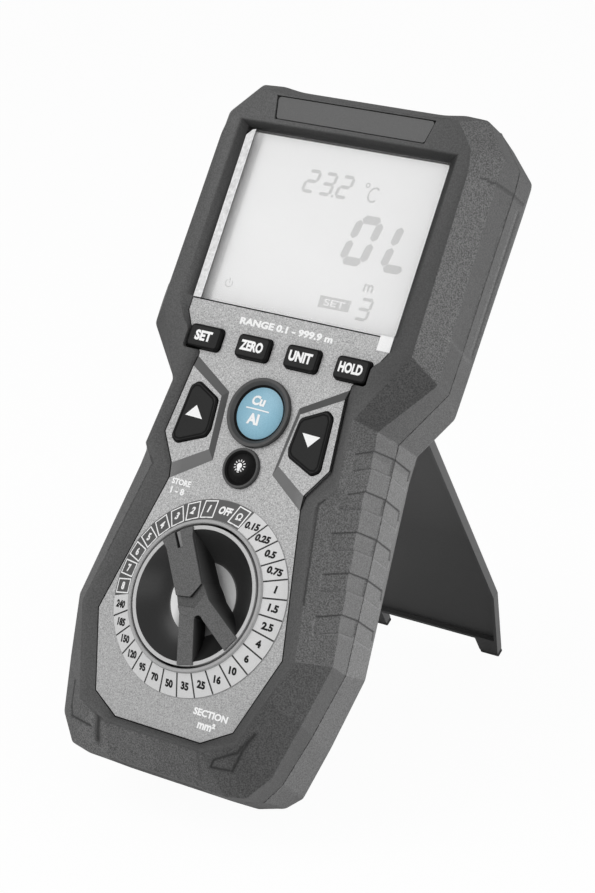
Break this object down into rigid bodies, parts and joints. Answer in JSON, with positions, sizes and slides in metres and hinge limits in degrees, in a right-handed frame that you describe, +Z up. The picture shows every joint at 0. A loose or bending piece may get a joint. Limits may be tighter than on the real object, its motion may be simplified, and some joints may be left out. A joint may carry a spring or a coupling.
{
  "type": "cable length counter",
  "caption": "Handheld cable length counter with a rotary wire-size selector, key pad, display, top test sockets and a folding rear stand, standing open on a surface.",
  "frame": {"origin": "on the floor under the middle of the bounding box, with the stand open", "axes": "+Z up; the display and selector face -Y and up; +X is to the right seen from the front"},
  "size_m": [0.1106, 0.1664, 0.2085],
  "materials": {
    "boot_rubber": "fine grain, matt",
    "case_plastic": "fine spark-eroded texture",
    "plate_grey": "metallic-flake grey paint",
    "dial_print": "light grey with printed cells",
    "name_grey": "satin grey",
    "clear_lens": "clear, polished",
    "clear_film": "clear film",
    "cell_glass": "pale liquid-crystal cell",
    "backlight_white": "white diffuser",
    "holder_white": "moulded white",
    "strip_silicone": "silicone",
    "collar_grey": "dark grey satin",
    "board_green": "solder-masked board",
    "switch_black": "black moulding",
    "steel": "plated steel",
    "knob_matte": "fine matt texture",
    "terminal_black": "black moulding",
    "sleeve_brass": "plated brass",
    "battery_shell": "printed sleeve",
    "foam_grey": "foam",
    "key_black": "black with white print",
    "key_blue": "pale blue with white print",
    "knob_gloss": "polished black",
    "trim_grey": "light grey ring",
    "stand_plastic": "fine texture",
    "foot_rubber": "rubber"
  },
  "bodies": {
    "case": {"front_boot": "boot_rubber", "rear_boot": "boot_rubber", "front_case": "case_plastic", "rear_case": "case_plastic", "faceplate": "plate_grey", "scale_ring": "dial_print", "name_plate": "name_grey", "display_window": "clear_lens", "display_film": "clear_film", "lcd_glass": "cell_glass", "lcd_backlight": "backlight_white", "lcd_holder": "holder_white", "zebra_strips": "strip_silicone", "key_ring_material": "collar_grey", "key_ring_light": "collar_grey", "main_board": "board_green", "key_switches": "switch_black", "buzzer": "switch_black", "shield_can": "steel", "detent_ring": "knob_matte", "case_gasket": "strip_silicone", "case_screws": "steel", "terminal_block": "terminal_black", "socket_sleeves": "sleeve_brass", "battery": "battery_shell", "battery_snap": "switch_black", "battery_pad": "foam_grey", "battery_cover": "case_plastic", "battery_cover_screws": "steel", "stand_pin": "steel"},
    "selector": {"knob_bowl": "knob_gloss", "knob_trim_ring": "trim_grey", "knob_handle": "knob_matte", "knob_shaft": "knob_matte", "knob_screw": "steel", "wiper_disc": "knob_matte", "wiper_contacts": "sleeve_brass", "detent_balls": "steel"},
    "stand": {"stand_leaf": "stand_plastic", "stand_feet": "foot_rubber"},
    "set_key": {"key_set": "key_black"},
    "zero_key": {"key_zero": "key_black"},
    "unit_key": {"key_unit": "key_black"},
    "hold_key": {"key_hold": "key_black"},
    "up_key": {"key_up": "key_black"},
    "down_key": {"key_down": "key_black"},
    "material_key": {"key_material": "key_blue"},
    "light_key": {"key_light": "key_black"}
  },
  "joints": [
    {"name": "selector_turn", "type": "hinge", "parent": "case", "child": "selector", "pos_m": [0, -0.05578, 0.06996], "axis": [0, -0.8279, 0.5608], "continuous": true},
    {"name": "stand_fold", "type": "hinge", "parent": "case", "child": "stand", "pos_m": [0, 0.02104, 0.1067], "axis": [1, 0, 0], "range_deg": [-64, 0]},
    {"name": "set_key_press", "type": "slide", "parent": "case", "child": "set_key", "axis": [0, 0.8279, -0.5608], "range_m": [0, 0.0008], "stiffness_N_per_m": 500},
    {"name": "zero_key_press", "type": "slide", "parent": "case", "child": "zero_key", "axis": [0, 0.8279, -0.5608], "range_m": [0, 0.0008], "stiffness_N_per_m": 500},
    {"name": "unit_key_press", "type": "slide", "parent": "case", "child": "unit_key", "axis": [0, 0.8279, -0.5608], "range_m": [0, 0.0008], "stiffness_N_per_m": 500},
    {"name": "hold_key_press", "type": "slide", "parent": "case", "child": "hold_key", "axis": [0, 0.8279, -0.5608], "range_m": [0, 0.0008], "stiffness_N_per_m": 500},
    {"name": "up_key_press", "type": "slide", "parent": "case", "child": "up_key", "axis": [0, 0.8279, -0.5608], "range_m": [0, 0.0008], "stiffness_N_per_m": 500},
    {"name": "down_key_press", "type": "slide", "parent": "case", "child": "down_key", "axis": [0, 0.8279, -0.5608], "range_m": [0, 0.0008], "stiffness_N_per_m": 500},
    {"name": "material_key_press", "type": "slide", "parent": "case", "child": "material_key", "axis": [0, 0.8279, -0.5608], "range_m": [0, 0.0008], "stiffness_N_per_m": 500},
    {"name": "light_key_press", "type": "slide", "parent": "case", "child": "light_key", "axis": [0, 0.8279, -0.5608], "range_m": [0, 0.0008], "stiffness_N_per_m": 500}
  ]
}
